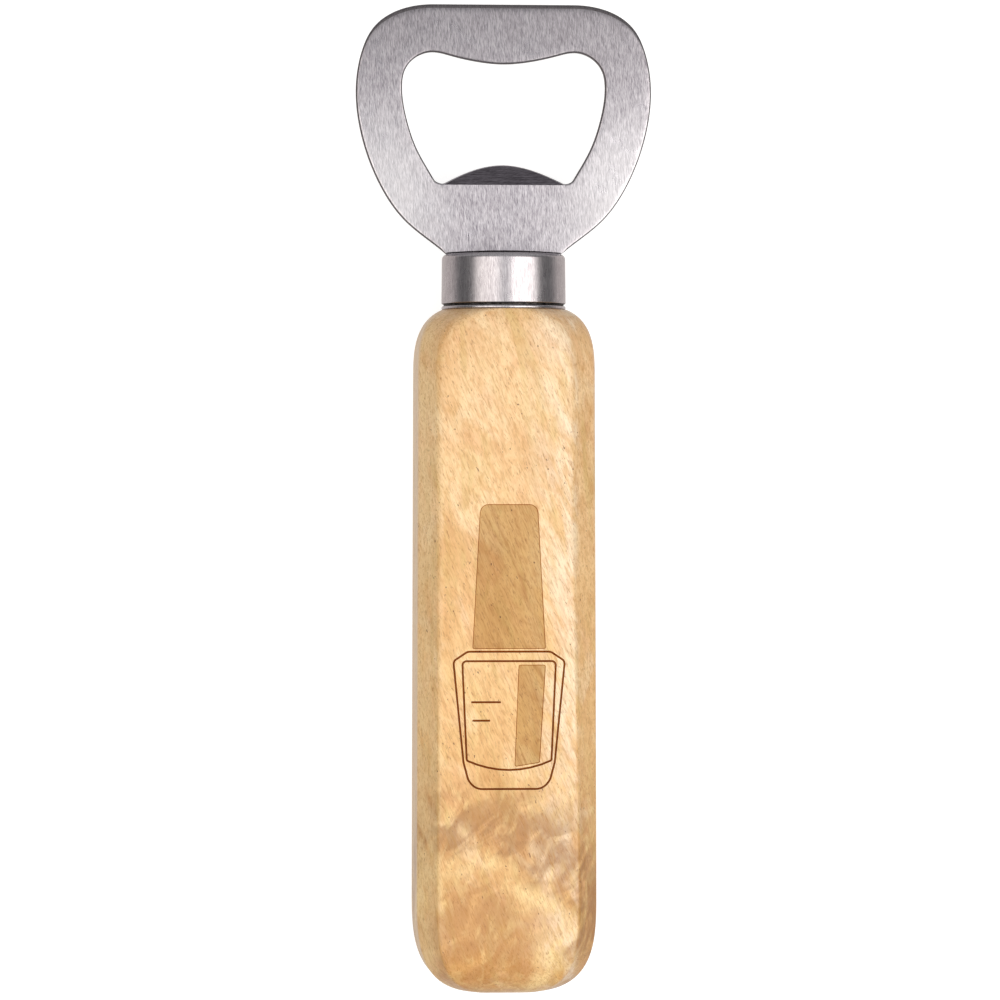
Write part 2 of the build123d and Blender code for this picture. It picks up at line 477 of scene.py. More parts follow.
def stain(
    tree: Tree,
    colour: Socket,
    value: Socket,
    span: Point,
    tint: str,
    strength: float,
    mask: Socket | None = None,
) -> Socket:
    """Lay a tint over a colour where a value is high.

    Args:
        tree: the node tree.
        colour: the colour so far.
        value: what the tint follows.
        span: the values where the tint begins and where it is full.
        tint: its sRGB colour.
        strength: how much of it shows at the full.
        mask: where it shows at all.

    Returns:
        The new colour.
    """
    share = add_node(
        tree,
        "ShaderNodeMapRange",
        {**EASED, "From Min": span[0], "From Max": span[1], "To Max": strength},
        {"Value": value},
    ).outputs[0]
    if mask is not None:
        share = add_node(tree, "ShaderNodeMath", MULTIPLY, {0: share, 1: mask}).outputs[0]
    over = {"data_type": "RGBA", MIX_SECOND: linear(tint)}
    mixed = add_node(tree, "ShaderNodeMix", over, {MIX_FACTOR: share, MIX_FIRST: colour})
    return mixed.outputs[MIX_RESULT]


def dress(
    tree: Tree, shader: bpy.types.Node, colour: Socket, wear: Socket, span: Point, rough: Point
) -> None:
    """Give a shader its colour and a roughness that follows the wear.

    Args:
        tree: the node tree.
        shader: the shader node.
        colour: the finish's colour.
        wear: the pattern that the roughness follows.
        span: the pattern's lowest and highest value.
        rough: the roughness at both.
    """
    limits = {"From Min": span[0], "From Max": span[1], "To Min": rough[0], "To Max": rough[1]}
    uneven = add_node(tree, "ShaderNodeMapRange", limits, {"Value": wear})
    tree.links.new(uneven.outputs[0], shader.inputs["Roughness"])
    tree.links.new(colour, shader.inputs["Base Color"])


@dataclass(frozen=True)
class Steel:
    """Stainless steel sheet, finished with an abrasive belt, a die or a punch.

    The belt leaves fine scratches one way: they draw light out across them, so the sheet
    has a soft grey sheen with thin bright and dark lines instead of a mirror image.
    """

    name: str
    light_tint: str
    dark_tint: str
    roughness: float
    brushing: Brushing = Brushing.ALONG_HANDLE
    # Belt grit leaves scratches of some 0.05 mm; drawn at three times that so that they show.
    scratch_width: float = 0.15
    scratch_length: float = 1.5
    scratch_depth: float = 0.12
    # Where the scratches' pattern turns from the dark tint to the light one.
    tint_span: Point = (0.37, 0.61)
    # Handling smudges, a few millimetres across, dull the sheen a little.
    smudge_size: float = 3.5
    smudge_span: Point = (0.46, 0.72)
    smudge: float = 0.07
    dulling: float = 0.2
    # A second pass crosses the first at this many degrees, with finer and fewer scratches.
    second_pass: float = 14.0
    second_size: float = 0.6
    second_share: float = 0.4
    # How deep a scratch of full strength lies, in millimetres.
    full_depth: float = 0.02
    # A drawn or pressed wall is never quite true: shallow waves some millimetres long.
    wave_size: float = 3.0
    wave_depth: float = 0.0
    # Painted shade: towards the far end of the head the sheet is painted darker.
    far_end_shade: float = 0.0
    far_end_shade_tint: str = "5a5759"
    # Painted highlight: low on both arms the sheet is painted bright.
    arm_highlight: float = 0.0
    arm_highlight_tint: str = "ffffff"

    def material(self) -> bpy.types.Material:
        """Build the node material."""
        material, shader, place = new_finish(self.name)
        tree = material.node_tree
        width, length = self.scratch_width, self.scratch_length
        along = self.brushing is Brushing.ALONG_HANDLE
        size = (width, length, width) if along else (length, width, width * 2)
        finer = [side * self.second_size for side in size]
        first = pattern(tree, place, size, {"Detail": 3.0, "Roughness": 0.7})
        second = pattern(tree, place, finer, {"Detail": 2.0, "Roughness": 0.6}, self.second_pass)
        both = {"data_type": "FLOAT", MIX_FACTOR: self.second_share}
        scratches = add_node(tree, "ShaderNodeMix", both, {2: first, 3: second}).outputs[0]
        smudges = pattern(tree, place, (self.smudge_size,) * 3, {"Detail": 4.0, "Distortion": 0.6})
        tints = map(linear, (self.dark_tint, self.light_tint))
        stops = {"stops": tuple(zip(self.tint_span, tints))}
        colour = add_node(tree, "ShaderNodeValToRGB", stops, {0: scratches}).outputs[0]
        colour = stain(tree, colour, smudges, self.smudge_span, self.dark_tint, self.dulling)
        # The sheet's painted shade at the far end and painted highlight on the lower arms.
        if self.far_end_shade:
            colour = self.paint_shade_and_highlight(tree, place, colour)
        rough = (self.roughness - self.smudge, self.roughness + self.smudge)
        dress(tree, shader, colour, smudges, (0.3, 0.7), rough)
        relief = {"Strength": self.scratch_depth, "Distance": self.full_depth * MM}
        bump = add_node(tree, "ShaderNodeBump", relief, {"Height": scratches}).outputs[0]
        if self.wave_depth:
            ripple = {"Scale": 1.0 / (self.wave_size * MM), "Detail": 2.0}
            waves = add_node(tree, "ShaderNodeTexNoise", ripple, {"Vector": place}).outputs[0]
            relief = {"Strength": 1.0, "Distance": self.wave_depth * MM}
            surface = {"Height": waves, "Normal": bump}
            bump = add_node(tree, "ShaderNodeBump", relief, surface).outputs[0]
        tree.links.new(bump, shader.inputs["Normal"])
        shader.inputs["Metallic"].default_value = 1.0
        return material

    def paint_shade_and_highlight(self, tree: Tree, place: Socket, colour: Socket) -> Socket:
        """Paint a shade on the head's far end and a highlight on its lower arms.

        Args:
            tree: the node tree.
            place: the place on the opener.
            colour: the steel so far.

        Returns:
            The new colour.
        """
        parts = add_node(tree, "ShaderNodeSeparateXYZ", links={0: place}).outputs
        aside = add_node(tree, "ShaderNodeMath", {"operation": "ABSOLUTE"}, {0: parts["X"]}).outputs[0]
        start, end = OUTER_ARMS
        limits = {**EASED, "From Min": start * MM, "From Max": end * MM}
        arms = add_node(tree, "ShaderNodeMapRange", limits, {"Value": aside}).outputs[0]
        for (start, end), tint, strength, mask in (
            (SHADED_FAR_END, self.far_end_shade_tint, self.far_end_shade, None),
            (HIGHLIGHTED_LOWER_ARMS, self.arm_highlight_tint, self.arm_highlight, arms),
        ):
            colour = stain(tree, colour, parts["Y"], (start * MM, end * MM), tint, strength, mask)
        return colour


class Zone(Enum):
    """Which part of the bar a layer of the wood's figure shows on."""

    ALL = "all of it"
    LEFT = "paler wood and painted light on the left"
    RIGHT = "paler wood and painted sheen on the right"
    BUTT = "butt"
    HEART = "burl's heart"
    RING = "burl's pale ring"
    CLOUD = "burl's brown cloud"


@dataclass(frozen=True)
class Figure:
    """One layer of the wood's figure: an uneven pattern, and the tint it lays down.

    The size, in millimetres, is that of a feature across and along the grain. The span is
    where the tint begins and is full, and the bar's grain leans as it was cut across the rings.
    """

    size: Point
    detail: float
    distortion: float
    span: Point
    tint: str
    strength: float
    zone: Zone = Zone.ALL
    lean: float = 22.0

    def spread(self, tree: Tree, place: Socket) -> Socket:
        """Spread the layer's pattern over the wood."""
        width, length = self.size
        look = {"Detail": self.detail, "Distortion": self.distortion}
        return pattern(tree, place, (width, length, width), look, self.lean)


# Broad figure first: brown clouds, pale glow, a pink blush, olive bands, streaks, mottle.
BROAD_FIGURE = (
    Figure((8.0, 20.0), 4.0, 0.8, (0.46, 0.7), "cf9650", 0.5),
    Figure((5.5, 12.0), 3.0, 0.8, (0.5, 0.72), "ffe9c0", 0.5, lean=30.0),
    Figure((6.0, 9.0), 3.0, 1.0, (0.5, 0.7), "f2b88c", 0.22),
    Figure((3.5, 13.0), 4.0, 1.0, (0.5, 0.68), "cdb066", 0.4, lean=8.0),
    # Pale streaks on the right of the front: partly paler wood, partly a painted sheen.
    Figure((3.0, 10.0), 3.0, 0.5, (0.34, 0.6), "fff0d6", 0.62, Zone.RIGHT),
    Figure((1.3, 2.4), 3.0, 0.8, (0.42, 0.74), "cf9654", 0.4),
    Figure((1.6, 13.0), 5.0, 1.2, (0.5, 0.76), "bf8248", 0.32),
)
# The burl near the butt: pale flames, a brown heart, a pale ring and a brown cloud.
BURL_FIGURE = (
    Figure((3.0, 11.0), 3.0, 2.4, (0.48, 0.68), "f8da98", 0.45, Zone.BUTT, -8.0),
    Figure((3.6, 7.0), 4.0, 0.9, (0.3, 0.62), "b07a42", 0.6, Zone.HEART, -50.0),
    Figure((3.6, 7.0), 4.0, 0.9, (0.3, 0.62), "f8da9c", 0.8, Zone.RING, -50.0),
    Figure((3.6, 7.0), 4.0, 0.9, (0.3, 0.62), "905c26", 0.66, Zone.CLOUD, -50.0),
)
# The left facet is painted paler and more olive: partly the wood's colour, partly painted light.
LEFT_FACET_LIGHTENING = Figure((3.0, 10.0), 3.0, 0.5, (0.3, 0.56), "eed09a", 0.6, Zone.LEFT)
FIBRE = Figure((0.3, 2.4), 4.0, 0.8, (0.42, 0.76), "b47a30", 0.5)
# Wood vessels show as flecks 0.2 mm wide and about 1 mm long.
FLECK = Figure((0.2, 1.0), 2.0, 0.8, (0.54, 0.76), "8f5218", 0.55)
# Open pores are some 0.1 mm wide; drawn at three times that so that they show.
PORE = Figure((0.36, 0.8), 0.0, 0.0, (0.83, 0.87), "6b4018", 0.8)


@dataclass(frozen=True)
class Wood:
    """Pale hardwood, sanded round and sealed with a satin lacquer.

    Sanding leaves the figure smooth and warm. The lacquer gives a soft window-like sheen,
    and the laser's heat turns the wood under it golden brown, or dark along a line.
    """

    name: str
    # How much of the wood's own colour is left after the laser, as an sRGB tint.
    tone: str = "ffffff"
    roughness: float = 0.42
    # Sealer coat: a brushed lacquer is some 0.25 rough; a lasered patch has none left.
    coat: float = 0.35
    coat_roughness: float = 0.25
    specular: float = 0.5
    foot_y: float = -84.0
    shoulder_y: float = 32.0
    # The ground colour from butt to shoulder: places on a ramp from 0 to 1, and tints.
    ground: tuple[tuple[float, str], ...] = (
        (0.1, "d6a363"),
        (0.3, "e0b072"),
        (0.48, "f2c88a"),
        (0.68, "f6d09a"),
        (0.84, "f6d3a0"),
        # The last stop darkens the ground near the shoulder: painted shade where the bar rounds over.
        (0.97, "e2b884"),
    )
    # The rise from butt to shoulder stops short of 1, so that the drift stays on the ramp.
    rise: float = 0.8
    drift: float = 0.24
    # Paler wood begins and is full at these places across the bar, in millimetres; on the right of the
    # front it also paints the lacquer's sheen, and on the left facet it paints light.
    left_pale_facet: Point = (-10.5, -13.5)
    right_pale_sheen: Point = (1.0, 10.0)
    right_pale_sheen_edge: Point = (12.4, 10.8)
    # The burl fades in over this part of the rise, round an eye near the butt.
    burl_rise: Point = (0.4, 0.19)
    burl_eye: tuple[float, float, float] = (-5.0, -75.0, 24.0)
    burl_span: float = 30.0
    swirl_size: float = 7.0
    swirl_reach: float = 14.0
    # Where each ring round the eye starts, is full, fades and ends.
    burl_rings: tuple[tuple[Zone, tuple[float, ...]], ...] = (
        (Zone.HEART, (0.0, 0.02, 0.25, 0.5)),
        (Zone.RING, (0.34, 0.45, 0.48, 0.58)),
        (Zone.CLOUD, (0.48, 0.6, 0.72, 0.98)),
    )

    def material(self) -> bpy.types.Material:
        """Build the node material."""
        material, shader, place = new_finish(self.name)
        tree = material.node_tree
        parts = add_node(tree, "ShaderNodeSeparateXYZ", links={0: place}).outputs
        limits = {"From Min": self.foot_y * MM, "From Max": self.shoulder_y * MM, "To Max": self.rise}
        rise = add_node(tree, "ShaderNodeMapRange", limits, {"Value": parts["Y"]}).outputs[0]
        drift = pattern(tree, place, (14.0, 26.0, 14.0), {"Detail": 2.0, "Distortion": 0.8})
        wander = {"operation": "MULTIPLY_ADD", 1: self.drift}
        ground = add_node(tree, "ShaderNodeMath", wander, {0: drift, 2: rise}).outputs[0]
        stops = {"stops": tuple((spot, linear(tint)) for spot, tint in self.ground)}
        colour = add_node(tree, "ShaderNodeValToRGB", stops, {0: ground}).outputs[0]
        masks = self.zones(tree, place, parts["X"], rise)
        spread = {}
        for layer in (*BROAD_FIGURE, *BURL_FIGURE, LEFT_FACET_LIGHTENING, FIBRE, FLECK, PORE):
            spread[layer] = value = layer.spread(tree, place)
            mask = masks.get(layer.zone)
            colour = stain(tree, colour, value, layer.span, layer.tint, layer.strength, mask)
        over = {"data_type": "RGBA", "blend_type": "MULTIPLY", 0: 1.0, MIX_SECOND: linear(self.tone)}
        colour = add_node(tree, "ShaderNodeMix", over, {MIX_FIRST: colour}).outputs[MIX_RESULT]
        rough = (self.roughness - 0.04, self.roughness + 0.08)
        dress(tree, shader, colour, spread[FIBRE], (0.35, 0.7), rough)
        sunk = {"Strength": 0.06, "Distance": 0.04 * MM, "invert": True}
        bump = add_node(tree, "ShaderNodeBump", sunk, {"Height": spread[FLECK]})
        tree.links.new(bump.outputs[0], shader.inputs["Normal"])
        shader.inputs["IOR"].default_value = 1.5
        shader.inputs["Specular IOR Level"].default_value = self.specular
        shader.inputs["Coat Weight"].default_value = self.coat
        shader.inputs["Coat Roughness"].default_value = self.coat_roughness
        return material

    def zones(self, tree: Tree, place: Socket, x: Socket, rise: Socket) -> dict[Zone, Socket]:
        """Mask the paler wood at both sides, which also carries painted light there, and the burl near the
        butt.

        Args:
            tree: the node tree.
            place: the place on the opener.
            x: the place across the bar.
            rise: the place along it, from the butt.

        Returns:
            The mask of each zone.
        """
        spans = (
            (x, self.left_pale_facet, MM),
            (x, self.right_pale_sheen, MM),
            (x, self.right_pale_sheen_edge, MM),
            (rise, self.burl_rise, 1.0),
        )
        left, middle, side, low = (
            add_node(
                tree,
                "ShaderNodeMapRange",
                {**EASED, "From Min": start * unit, "From Max": end * unit},
                {"Value": value},
            ).outputs[0]
            for value, (start, end), unit in spans
        )
        right = add_node(tree, "ShaderNodeMath", MULTIPLY, {0: middle, 1: side}).outputs[0]
        masks = {Zone.LEFT: left, Zone.RIGHT: right, Zone.BUTT: low}
        swirl = {"Scale": 1 / (self.swirl_size * MM), "Detail": 4.0}
        shifts = add_node(tree, "ShaderNodeTexNoise", swirl, {"Vector": place}).outputs[1]
        shift = {"operation": "MULTIPLY_ADD", 1: (self.swirl_reach * MM,) * 3}
        warped = add_node(tree, "ShaderNodeVectorMath", shift, {0: shifts, 2: place}).outputs[0]
        eye = tuple((side + self.swirl_reach / 2) * MM for side in self.burl_eye)
        off = {"operation": "DISTANCE", 1: eye}
        gap = add_node(tree, "ShaderNodeVectorMath", off, {0: warped}).outputs["Value"]
        split = {"operation": "DIVIDE", 1: self.burl_span * MM}
        share = add_node(tree, "ShaderNodeMath", split, {0: gap}).outputs[0]
        for zone, spots in self.burl_rings:
            stops = {"stops": tuple(zip(spots, map(grey, (0.0, 1.0, 1.0, 0.0))))}
            ring = add_node(tree, "ShaderNodeValToRGB", stops, {0: share}).outputs[0]
            masks[zone] = add_node(tree, "ShaderNodeMath", MULTIPLY, {0: ring, 1: low}).outputs[0]
        return masks


@dataclass(frozen=True)
class Resin:
    """Two-part epoxy, poured and cured: clear amber with a haze of tiny bubbles."""

    name: str = "poured_epoxy"
    bubble_size: float = 0.8

    def material(self) -> bpy.types.Material:
        """Build the node material."""
        material, shader, place = new_finish(self.name)
        tree = material.node_tree
        stretch = {"vector_type": "TEXTURE", "Scale": (self.bubble_size * MM,) * 3}
        spread = add_node(tree, "ShaderNodeMapping", stretch, {"Vector": place}).outputs[0]
        bubbles = add_node(tree, "ShaderNodeTexVoronoi", {"Scale": 1.0}, {0: spread}).outputs["Distance"]
        stops = {"stops": ((0.15, linear("efe2b4")), (0.4, linear("d8b76a")))}
        colour = add_node(tree, "ShaderNodeValToRGB", stops, {0: bubbles}).outputs[0]
        tree.links.new(colour, shader.inputs["Base Color"])
        shader.inputs["Roughness"].default_value = 0.25
        shader.inputs["IOR"].default_value = 1.55
        return material


# ---------------------------------------------------------------- the opener


@dataclass
class OpenerHead:
    """The stamped plate: a wide D with a cap window, a lip bent back, and a tang."""

    top_y: float
    front_z: float
    tang_end_y: float
    ferrule_top_y: float
    sheet: float = 2.0
    edge_round: float = 0.4
    edge_reach: float = 0.42
    far_edge_reach: float = 1.7
    tang_round: float = 0.1
    neck_seat: float = 0.03
    # The painted shadow line between head and ferrule: its height over the ferrule, and how much higher its
    # middle arches.
    shadow_line_height: float = 0.28
    shadow_line_arch: float = 0.4
    neck_half_width: float = 9.8
    neck_corner: float = 0.8
    tang_half_width: float = 4.5
    tang_point: float = 2.0
    notch_radius: float = 1.2
    notches: tuple[float, ...] = (14.0, 22.0, 30.0)
    fold_drop: float = 30.7
    lip_angle: float = math.radians(42.0)
    lip_length: float = 5.0
    fold_half_width: float = 10.1
    bend_end: float = 11.4
    crease_reach: float = 2.0
    valley_corner: Point = (11.25, -0.26)
    valley_radius: float = 1.25
    # Points of the right half, each x and its drop below the top edge.
    side: tuple[Point, ...] = (
        (16.8, 36.8), (21.5, 29.9), (24.35, 21.8), (25.18, 14.8), (24.1, 7.8),
        (22.2, 4.0), (19.9, 2.0), (16.8, 0.65), (12.0, 0.0),
    )
    window_side: tuple[Point, ...] = (
        (0, 10.1), (5.0, 9.6), (9.0, 8.7), (12.3, 8.1), (15.2, 9.15), (16.9, 11.3),
        (17.35, 14.0), (16.65, 19.2), (14.65, 25.0),
    )
    # Directions: of the neck's edge where it leaves the ferrule, and down and up the valley.
    neck_rise: Point = (1.0, 0.85)
    valley_down: Point = (-0.5, -0.87)
    valley_up: Point = (-0.8, 0.6)
    # A point of the lip's free edge: x, and its share of the lip's length.
    lip_shoulder: Point = (5.56, 0.7)
    # The rounding grows over these heights above the ferrule and below the top edge.
    neck_growth: Point = (0.3, 0.8)
    far_growth: Point = (8.0, 0.5)
    sample: float = 0.5
    grid: float = 1.1

    @property
    def fold_y(self) -> float:
        """Where the lip bends away from the plate."""
        return self.top_y - self.fold_drop

    @property
    def neck_y(self) -> float:
        """Where the head's neck stands on the ferrule."""
        return self.ferrule_top_y + self.neck_seat

    def shadow_line_top(self, x: np.ndarray | float) -> np.ndarray | float:
        """Top of the painted shadow line over the ferrule, arched higher in the middle, in the tang's dark
        finish.
        """
        rise = self.shadow_line_arch * (1 - (x / self.neck_half_width) ** 2)
        return self.ferrule_top_y + self.shadow_line_height + rise

    def drop(self, points: Sequence[Point]) -> list[Point]:
        """Turn points given by their drop below the top edge into places."""
        return [(x, self.top_y - down) for x, down in points]

    def outline(self) -> np.ndarray:
        """The outer edge, anticlockwise, from the middle of the tang's foot."""
        half, point = self.tang_half_width, self.tang_point
        foot, neck_y = self.tang_end_y, self.neck_y
        parts = [
            straight((0, foot), (half - point, foot), 1.0),
            straight((half - point, foot), (half, foot + point), 1.0),
        ]
        reached = foot + point
        for y in self.notches:
            parts.append(straight((half, reached), (half, y - self.notch_radius), 1.0))
            turn = np.linspace(-math.pi / 2, math.pi / 2, 13)[:-1]
            bite = np.stack((-np.cos(turn), np.sin(turn)), axis=1) * self.notch_radius
            parts.append(bite + (half, y))
            reached = y + self.notch_radius
        parts.append(straight((half, reached), (half, neck_y), 1.0))
        waist = (self.neck_half_width, neck_y)
        neck = corner_arc(waist, (1, 0), self.neck_rise, self.neck_corner, ARC_STEPS)
        parts += [straight((half, neck_y), neck[0], self.sample), neck[:-1]]
        side = self.drop(self.side)
        curve = smooth_curve([tuple(neck[-1])] + side, self.neck_rise, (-1, 0), self.sample)
        parts.append(curve[:-1])
        parts += [straight(side[-1], (0, self.top_y), self.sample), np.array([(0, self.top_y)])]
        return mirrored(np.concatenate(parts))

    def window(self) -> np.ndarray:
        """The cap window's edge in the flat sheet, clockwise, from the middle of its top."""
        corner = (self.valley_corner[0], self.fold_y + self.valley_corner[1])
        down, up = self.valley_down, self.valley_up
        valley = corner_arc(corner, down, up, self.valley_radius, ARC_STEPS * 2)
        side = self.drop(self.window_side)
        shoulder_x, shoulder_share = self.lip_shoulder
        shoulder = (shoulder_x, self.fold_y + self.lip_length * shoulder_share)
        lip = [tuple(valley[-1]), shoulder, (0.0, self.fold_y + self.lip_length)]
        top = smooth_curve(side + [tuple(valley[0])], (1, 0), down, self.sample)
        foot = smooth_curve(lip, up, (-1, 0), self.sample)
        return mirrored(np.concatenate((top[:-1], valley[:-1], foot)))

    def bent(self, flat: np.ndarray, depth: np.ndarray | float) -> np.ndarray:
        """Bend the lip back out of the flat sheet.

        Args:
            flat: places in the flat sheet.
            depth: how deep each lies under the front face.

        Returns:
            The places in space.
        """
        x, y = flat[:, 0], flat[:, 1]
        depth = np.broadcast_to(depth, (len(flat),))
        along = y - self.fold_y
        miter = depth * math.tan(self.lip_angle / 2)
        near = np.abs(along) < self.crease_reach
        squeezed = miter + np.abs(along) / self.crease_reach * (self.crease_reach - miter)
        run = np.where(near, np.copysign(squeezed, along), along)
        cos, sin = math.cos(self.lip_angle), math.sin(self.lip_angle)
        is_lip = along >= 0
        z = self.front_z - depth
        bent_y = np.where(is_lip, self.fold_y + run * cos - depth * sin, self.fold_y + run)
        bent_z = np.where(is_lip, self.front_z - run * sin - depth * cos, z)
        in_foot = (np.abs(x) < self.bend_end) & (np.abs(along) < self.lip_length + 1)
        share = np.where(in_foot, 1 - smooth_step(self.fold_half_width, self.bend_end, np.abs(x)), 0)
        return np.stack((x, y + (bent_y - y) * share, z + (bent_z - z) * share), axis=1)

    def rounding(self, loop: np.ndarray) -> tuple[np.ndarray, np.ndarray]:
        """Find how much the edge is rounded at each point of a loop.

        Args:
            loop: the loop's points.

        Returns:
            How far in and how deep the rounding reaches at each.
        """
        y = loop[:, 1]
        head = smooth_step(*(self.ferrule_top_y + up for up in self.neck_growth), y)
        far = smooth_step(*(self.top_y - down for down in self.far_growth), y)
        reach = self.edge_reach + (self.far_edge_reach - self.edge_reach) * far
        sunk = self.tang_round + (self.edge_round - self.tang_round) * head
        return self.tang_round + (reach - self.tang_round) * head, sunk

    def make(self, plate: Steel, edge: Steel, lip: Steel, tang: Steel) -> bpy.types.Object:
        """Build the head.

        Args:
            plate: finish of the flat faces.
            edge: finish of the sheared edges.
            lip: finish of the lip, a darker steel than the plate, painted as the lip's shade.
            tang: finish of the tang, also carried up past the plate's foot as a painted shadow line over
                the ferrule.

        Returns:
            The head.
        """
        shell = Shell()
        loops = (self.outline(), self.window())
        faces_at = []
        for loop in loops:
            reach, sunk = self.rounding(loop)
            turns = np.linspace(0, math.pi / 2, ARC_STEPS + 2)
            steps = [(reach * (1 - math.sin(t)), sunk * (1 - math.cos(t))) for t in turns]
            steps += [(inset, self.sheet - depth) for inset, depth in reversed(steps)]
            rings = [shell.add_points(self.bent(offset_loop(loop, i), depth)) for i, depth in steps]
            flat = ARC_STEPS // 2
            shell.join(rings[: flat + 1], 0)
            shell.join(rings[flat:-flat], 1)
            shell.join(rings[-flat - 1 :], 0)
            faces_at.append((offset_loop(loop, reach), rings[0], rings[-1]))
        outer, inner = faces_at[0][0], faces_at[1][0]
        across = np.arange(-self.fold_half_width, self.fold_half_width + 0.01, self.sample)
        fold = np.stack((across, np.full(len(across), self.fold_y)), axis=1)
        # Edges along the top of the painted shadow line.
        under = np.linspace(-1, 1, 33) * (self.neck_half_width - 0.3)
        neck = np.stack((under, self.shadow_line_top(under)), axis=1)
        fixed = np.concatenate((outer, inner, fold, neck))
        grid = hex_grid((outer[:, 0].min(), outer[:, 1].min()), (outer[:, 0].max(), self.top_y), self.grid)
        grid = grid[inside(grid, outer) & ~inside(grid, inner)]
        grid = clear_of(grid, fixed, self.grid * 0.5)
        points = np.concatenate((fixed, grid))
        first, second = len(outer), len(outer) + len(inner)
        third = second + len(fold)
        chains = (
            [*range(first), 0],
            [*range(first, second), first],
            list(range(second, third)),
            list(range(third, third + len(neck))),
        )
        triangles = triangulate(points, chains, lambda c: inside(c, outer) & ~inside(c, inner))
        centres = points[triangles].mean(axis=1)
        on_lip = (centres[:, 1] > self.fold_y) & (np.abs(centres[:, 0]) < self.fold_half_width)
        on_lip &= centres[:, 1] < self.fold_y + self.lip_length
        # The lip takes its darker steel, and the faces under the painted shadow line take the tang's dark
        # finish.
        finish = np.where(on_lip, 2, np.where(centres[:, 1] < self.shadow_line_top(centres[:, 0]), 3, 0))
        for side, depth in ((1, 0.0), (2, self.sheet)):
            rest = shell.add_points(self.bent(points[second:], depth))
            numbers = np.array(faces_at[0][side] + faces_at[1][side] + rest)
            turned = numbers[triangles][:, ::-1] if side == 2 else numbers[triangles]
            for number in (0, 2, 3):
                shell.add_faces(turned[finish == number], number)
        head = shell.make("stamped_head", [f.material() for f in (plate, edge, lip, tang)])
        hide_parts("opener_head")
        return head


@dataclass
class Ferrule:
    """The drawn steel cup over the handle's spigot, with a groove and a rolled rim."""

    top_y: float
    foot_y: float
    axis_z: float
    rim_radius: float = 10.57
    top_radius: float = 10.5
    foot_radius: float = 10.58
    wall: float = 0.8
    corner: float = 0.9
    rim_height: float = 0.68
    groove_radius: float = 10.33
    # The groove's corners, each by how far in it lies and how high over the rim.
    groove: tuple[Point, ...] = ((0.0, 0.5), (0.06, 0.4), (0.36, 0.26), (0.36, 0.08))
    slot_half_width: float = 4.6
    slot_half_depth: float = 1.1
    slot_corner: float = 0.2
    segments: int = 160

    def profile(self) -> list[Point]:
        """Radius and height from the edge of the top down to the inside of the top."""
        corner = corner_arc((self.top_radius, self.top_y), (1, 0), (0, -1), self.corner, ARC_STEPS)
        groove_y = self.foot_y + self.rim_height
        side = [(self.foot_radius - inward, groove_y + up) for inward, up in self.groove]
        middle, bulge = self.foot_y + self.rim_height / 2, self.rim_radius - self.groove_radius
        turns = np.linspace(math.pi / 2, -math.pi / 2, 9)
        half = self.rim_height / 2
        rim = [(self.groove_radius + bulge * math.cos(t), middle + half * math.sin(t)) for t in turns]
        bore = self.foot_radius - self.wall
        inner = [(bore, self.foot_y), (bore, self.top_y - self.wall)]
        return [*map(tuple, corner), *side, *rim, *inner]

    def make(self, drawn: Steel, groove_shade: Steel) -> bpy.types.Object:
        """Build the ferrule.

        Args:
            drawn: finish of the cup.
            groove_shade: finish of the groove, steel painted near black as the groove's shade.

        Returns:
            The ferrule.
        """
        shell = Shell()
        angles = np.linspace(0, 2 * math.pi, self.segments, endpoint=False)
        round_about = np.stack((np.cos(angles), np.sin(angles)), axis=1)
        profile = self.profile()
        rings = []
        for radius, y in profile:
            spots = [(radius * c, y, self.axis_z + radius * s) for c, s in round_about]
            rings.append(shell.add_points(spots))
        groove = ARC_STEPS + 2
        shell.join(rings[: groove + 1])
        # The groove's faces take the near-black steel: painted shade in the groove.
        shell.join(rings[groove : groove + 4], 1)
        shell.join(rings[groove + 3 :])
        wide, deep = self.slot_half_width, self.slot_half_depth
        corners = ((-wide, -deep), (wide, -deep), (wide, deep), (-wide, deep))
        slot = rounded_loop([(x, z, self.slot_corner) for x, z in corners], 1.0)
        slots = []
        for ring, (radius, y) in ((rings[0], profile[0]), (rings[-1], profile[-1])):
            edge = round_about * radius
            grid = hex_grid((-radius, -radius), (radius, radius), 1.4)
            grid = grid[inside(grid, edge) & ~inside(grid, slot)]
            grid = clear_of(grid, np.concatenate((edge, slot)), 0.5)
            points = np.concatenate((edge, slot, grid))
            first, second = len(edge), len(edge) + len(slot)
            chains = ([*range(first), 0], [*range(first, second), first])
            triangles = triangulate(points, chains, lambda c: inside(c, edge) & ~inside(c, slot))
            rest = shell.add_points(np.array([(x, y, self.axis_z + z) for x, z in points[first:]]))
            shell.add_faces(np.array(ring + rest)[triangles])
            slots.append(rest[: len(slot)])
        shell.join(slots)
        ferrule = shell.make("drawn_ferrule", [drawn.material(), groove_shade.material()])
        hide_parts("ferrule")
        return ferrule


